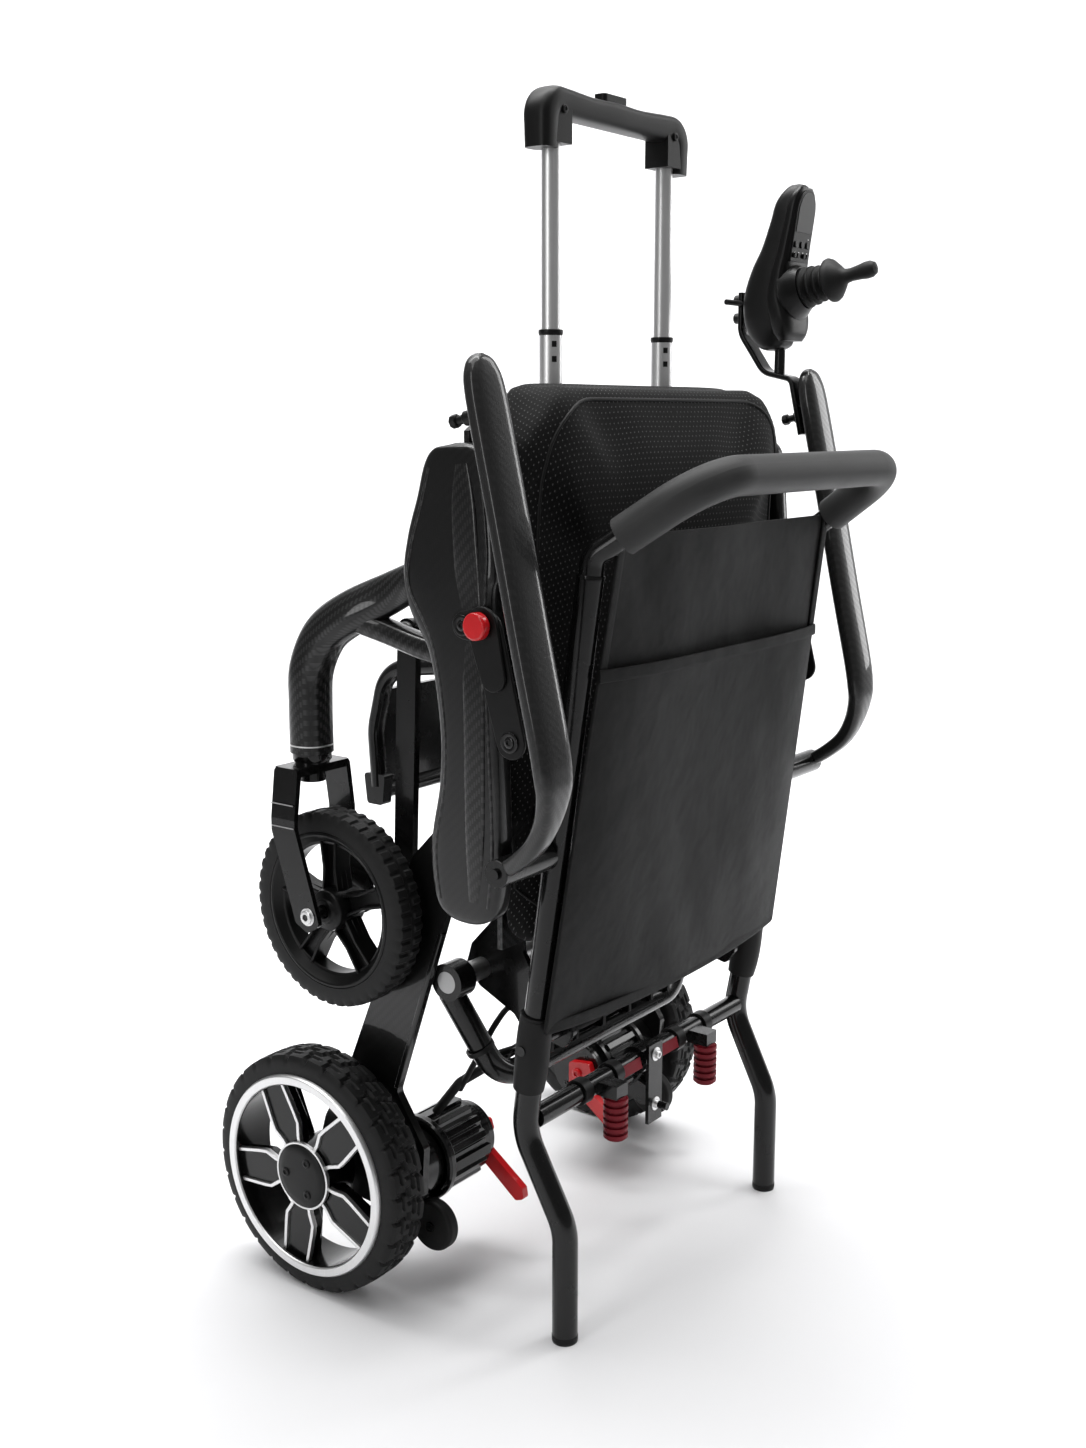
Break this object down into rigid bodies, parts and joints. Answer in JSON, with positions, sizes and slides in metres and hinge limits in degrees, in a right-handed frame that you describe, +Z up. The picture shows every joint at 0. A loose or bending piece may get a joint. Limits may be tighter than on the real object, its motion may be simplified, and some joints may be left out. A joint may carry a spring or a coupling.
{
  "type": "folding power wheelchair",
  "caption": "Folded carbon power wheelchair on its drive wheels and rear legs, with casters up, push bar, pull handle and joystick.",
  "frame": {"origin": "on the floor, under the middle of the whole chair's box", "axes": "+Z up, +Y towards the front of the chair (the caster side), +X to the user's right"},
  "size_m": [0.632, 0.552, 1.1985],
  "materials": {
    "tyre": "moulded rubber",
    "rim": "gloss black with bright edges",
    "caster_plastic": "moulded nylon",
    "carbon": "clear-coated carbon weave",
    "frame_black": "satin black paint",
    "motor_black": "gloss black casting",
    "red_plastic": "gloss red",
    "red_rubber": "dark red rubber",
    "steel": "satin steel tube",
    "bright_rod": "anodised aluminium",
    "black_plastic": "fine moulded texture",
    "seat_mesh": "spacer mesh",
    "nylon": "coated nylon",
    "foam": "dense foam grip",
    "pad_grey": "smooth moulded pad",
    "black_rubber": "soft rubber"
  },
  "bodies": {
    "chassis": {"link_plate_left": "carbon", "link_plate_right": "carbon", "seat_pivot_tube": "steel", "axle_frame": "frame_black", "motor_left": "motor_black", "motor_right": "motor_black", "anti_tip_arms": "frame_black", "cable_loom": "black_rubber"},
    "freewheel_lever_left": {"freewheel_lever_left": "red_plastic"},
    "freewheel_lever_right": {"freewheel_lever_right": "red_plastic"},
    "anti_tip_wheel_left": {"anti_tip_wheel_left": "black_rubber"},
    "anti_tip_wheel_right": {"anti_tip_wheel_right": "black_rubber"},
    "drive_wheel_left": {"drive_tyre_left": "tyre", "drive_rim_left": "rim"},
    "drive_wheel_right": {"drive_tyre_right": "tyre", "drive_rim_right": "rim"},
    "seat": {"seat_side_shell_left": "carbon", "seat_side_shell_right": "carbon", "seat_base": "carbon", "seat_cushion": "seat_mesh", "seat_hinge_brackets": "frame_black", "battery_pack": "black_plastic", "handle_sleeves": "bright_rod", "lock_plates": "black_plastic"},
    "pull_handle": {"pull_rods": "bright_rod", "pull_grip": "black_plastic"},
    "grip_button": {"grip_button": "black_plastic"},
    "lock_button_left": {"lock_button_left": "red_plastic"},
    "lock_button_right": {"lock_button_right": "red_plastic"},
    "front_arms": {"front_arm_left": "carbon", "front_arm_right": "carbon", "footrest_hanger": "frame_black"},
    "footplate": {"footplate": "frame_black"},
    "caster_fork_left": {"caster_fork_left": "frame_black"},
    "caster_fork_right": {"caster_fork_right": "frame_black"},
    "caster_wheel_left": {"caster_tyre_left": "tyre", "caster_rim_left": "caster_plastic"},
    "caster_wheel_right": {"caster_tyre_right": "tyre", "caster_rim_right": "caster_plastic"},
    "lower_links": {"lower_links": "frame_black"},
    "back_frame": {"back_tubes": "frame_black", "legs": "frame_black", "hinge_sleeves": "black_rubber", "leg_cross_tube": "frame_black", "push_bar": "frame_black", "push_bar_foam": "foam", "back_fabric": "nylon", "bump_springs": "red_rubber", "latch_bracket": "frame_black"},
    "armrest_left": {"armrest_bar_left": "carbon", "armrest_pad_left": "pad_grey"},
    "armrest_right": {"armrest_bar_right": "carbon", "armrest_pad_right": "pad_grey", "controller_bracket": "frame_black", "controller_shell": "black_plastic"},
    "joystick_gimbal": {"joystick_gimbal": "black_plastic"},
    "joystick_stick": {"joystick_stick": "black_rubber"},
    "key_slower": {"key_slower": "black_plastic"},
    "key_power": {"key_power": "black_plastic"},
    "key_faster": {"key_faster": "black_plastic"}
  },
  "joints": [
    {"name": "drive_wheel_spin_left", "type": "hinge", "parent": "chassis", "child": "drive_wheel_left", "pos_m": [-0.2595, 0.149, 0.127], "axis": [1, 0, 0], "continuous": true},
    {"name": "anti_tip_spin_left", "type": "hinge", "parent": "chassis", "child": "anti_tip_wheel_left", "pos_m": [-0.205, 0.039, 0.075], "axis": [1, 0, 0], "continuous": true},
    {"name": "freewheel_turn_left", "type": "hinge", "parent": "chassis", "child": "freewheel_lever_left", "pos_m": [-0.095, 0.078, 0.128], "axis": [-1, 0, 0], "range_deg": [0, 35]},
    {"name": "caster_swivel_left", "type": "hinge", "parent": "front_arms", "child": "caster_fork_left", "pos_m": [-0.25, 0.153, 0.566], "axis": [0, 0, 1], "range_deg": [-290, 0]},
    {"name": "caster_spin_left", "type": "hinge", "parent": "caster_fork_left", "child": "caster_wheel_left", "pos_m": [-0.25, 0.122, 0.411], "axis": [1, 0, 0], "continuous": true},
    {"name": "armrest_fold_left", "type": "hinge", "parent": "back_frame", "child": "armrest_left", "pos_m": [-0.26, -0.117, 0.497], "axis": [-1, 0, 0], "range_deg": [0, 77.4]},
    {"name": "lock_button_press_left", "type": "slide", "parent": "seat", "child": "lock_button_left", "axis": [1, 0, 0], "range_m": [0, 0.003], "stiffness_N_per_m": 400, "springref_m": -0.002},
    {"name": "drive_wheel_spin_right", "type": "hinge", "parent": "chassis", "child": "drive_wheel_right", "pos_m": [0.2595, 0.149, 0.127], "axis": [1, 0, 0], "continuous": true},
    {"name": "anti_tip_spin_right", "type": "hinge", "parent": "chassis", "child": "anti_tip_wheel_right", "pos_m": [0.205, 0.039, 0.075], "axis": [1, 0, 0], "continuous": true},
    {"name": "freewheel_turn_right", "type": "hinge", "parent": "chassis", "child": "freewheel_lever_right", "pos_m": [0.095, 0.078, 0.128], "axis": [-1, 0, 0], "range_deg": [0, 35]},
    {"name": "caster_swivel_right", "type": "hinge", "parent": "front_arms", "child": "caster_fork_right", "pos_m": [0.25, 0.153, 0.566], "axis": [0, 0, 1], "range_deg": [0, 290]},
    {"name": "caster_spin_right", "type": "hinge", "parent": "caster_fork_right", "child": "caster_wheel_right", "pos_m": [0.25, 0.122, 0.411], "axis": [1, 0, 0], "continuous": true},
    {"name": "armrest_fold_right", "type": "hinge", "parent": "back_frame", "child": "armrest_right", "pos_m": [0.26, -0.117, 0.497], "axis": [-1, 0, 0], "range_deg": [0, 77.4]},
    {"name": "lock_button_press_right", "type": "slide", "parent": "seat", "child": "lock_button_right", "axis": [-1, 0, 0], "range_m": [0, 0.003], "stiffness_N_per_m": 400, "springref_m": -0.002},
    {"name": "seat_fold", "type": "hinge", "parent": "chassis", "child": "seat", "pos_m": [0, 0.011, 0.345], "axis": [-1, 0, 0], "range_deg": [0, 80.7]},
    {"name": "front_arm_turn", "type": "hinge", "parent": "seat", "child": "front_arms", "pos_m": [0, -0.005, 0.735], "axis": [-1, 0, 0], "range_deg": [-80.7, 0]},
    {"name": "lower_link_turn", "type": "hinge", "parent": "chassis", "child": "lower_links", "pos_m": [0, 0.074, 0.3], "axis": [-1, 0, 0], "range_deg": [0, 80.7]},
    {"name": "back_hinge", "type": "hinge", "parent": "seat", "child": "back_frame", "pos_m": [0, -0.087, 0.3], "axis": [-1, 0, 0], "range_deg": [-80.7, 0]},
    {"name": "footplate_fold", "type": "hinge", "parent": "front_arms", "child": "footplate", "pos_m": [0, 0.198, 0.49], "axis": [-1, 0, 0], "range_deg": [0, 90]},
    {"name": "handle_slide", "type": "slide", "parent": "seat", "child": "pull_handle", "axis": [0, 0, 1], "range_m": [-0.16, 0]},
    {"name": "grip_button_press", "type": "slide", "parent": "pull_handle", "child": "grip_button", "axis": [0, 0, -1], "range_m": [0, 0.003], "stiffness_N_per_m": 400, "springref_m": -0.002},
    {"name": "joystick_side", "type": "hinge", "parent": "armrest_right", "child": "joystick_gimbal", "pos_m": [0.285, -0.088, 1.03], "axis": [0, 0.2079, 0.9781], "range_deg": [-15, 15], "stiffness_Nm_per_rad": 0.6},
    {"name": "joystick_drive", "type": "hinge", "parent": "joystick_gimbal", "child": "joystick_stick", "pos_m": [0.285, -0.088, 1.03], "axis": [1, 0, 0], "range_deg": [-15, 15], "stiffness_Nm_per_rad": 0.6},
    {"name": "key_slower_press", "type": "slide", "parent": "armrest_right", "child": "key_slower", "axis": [0, 1, 0], "range_m": [0, 0.001], "stiffness_N_per_m": 400, "springref_m": -0.001},
    {"name": "key_power_press", "type": "slide", "parent": "armrest_right", "child": "key_power", "axis": [0, 1, 0], "range_m": [0, 0.001], "stiffness_N_per_m": 400, "springref_m": -0.001},
    {"name": "key_faster_press", "type": "slide", "parent": "armrest_right", "child": "key_faster", "axis": [0, 1, 0], "range_m": [0, 0.001], "stiffness_N_per_m": 400, "springref_m": -0.001}
  ],
  "couplings": [
    {"joint": "front_arm_turn", "follows": "seat_fold", "ratio": -1},
    {"joint": "lower_link_turn", "follows": "seat_fold", "ratio": 1},
    {"joint": "back_hinge", "follows": "seat_fold", "ratio": -1},
    {"joint": "armrest_fold_left", "follows": "seat_fold", "ratio": 0.959},
    {"joint": "armrest_fold_right", "follows": "seat_fold", "ratio": 0.959}
  ]
}
